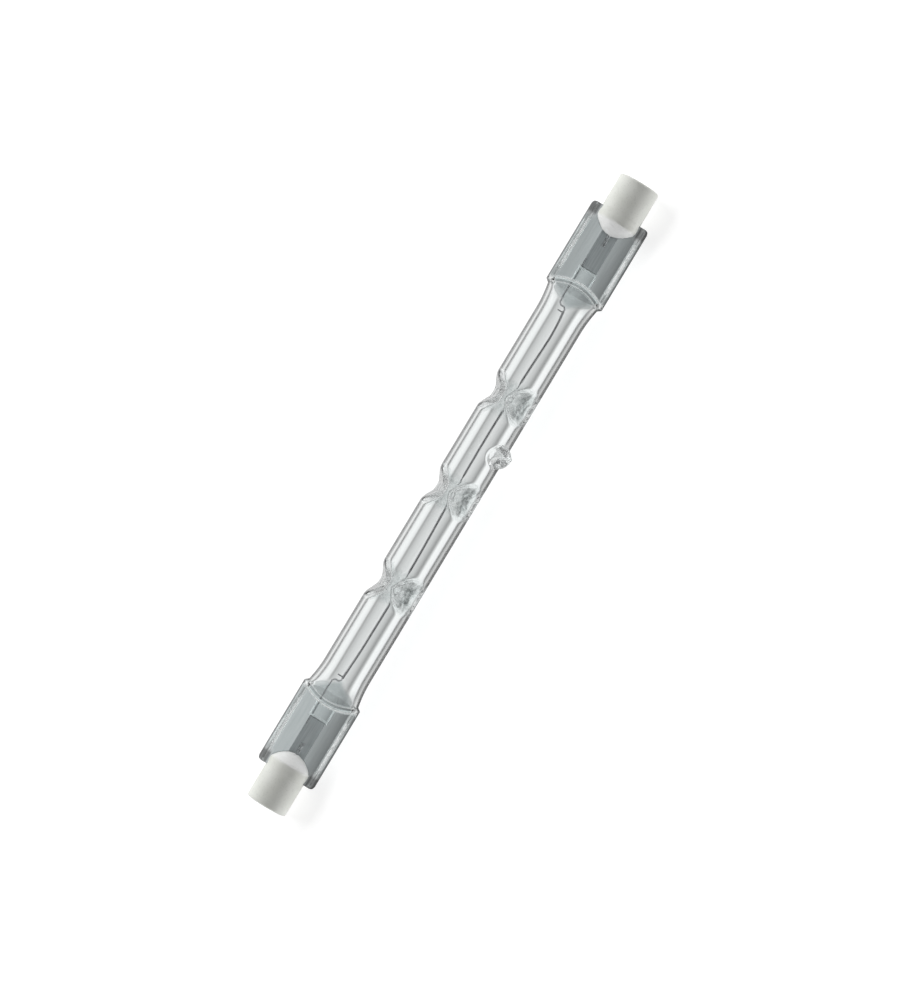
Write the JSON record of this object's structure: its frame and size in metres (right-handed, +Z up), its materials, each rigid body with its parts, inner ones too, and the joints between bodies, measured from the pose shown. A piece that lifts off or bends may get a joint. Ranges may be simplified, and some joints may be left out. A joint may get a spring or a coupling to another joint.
{
  "type": "linear halogen bulb",
  "caption": "Double-ended linear halogen bulb: dimpled clear quartz tube with a coil filament, flat foil seals and white ceramic caps with recessed contacts.",
  "frame": {"origin": "on the bulb's axis, midway between the two caps", "axes": "+X along the bulb towards the end nearer the exhaust tip, +Z up as the bulb lies at rest on the tube and on one edge of each seal, -Y towards the exhaust tip"},
  "size_m": [0.1176, 0.0118, 0.0084],
  "materials": {
    "quartz": "clear fused quartz",
    "tungsten": "drawn dark wire",
    "molybdenum": "rolled satin",
    "cap_ceramic": "unglazed ivory",
    "cement": "matte white cement",
    "contact_metal": "plain nickel"
  },
  "bodies": {
    "root": {"quartz_envelope": "quartz", "filament": "tungsten", "inner_lead_right": "tungsten", "foil_right": "molybdenum", "outer_lead_right": "molybdenum", "ceramic_cap_right": "cap_ceramic", "cement_right": "cement", "contact_right": "contact_metal", "inner_lead_left": "tungsten", "foil_left": "molybdenum", "outer_lead_left": "molybdenum", "ceramic_cap_left": "cap_ceramic", "cement_left": "cement", "contact_left": "contact_metal"}
  },
  "joints": []
}
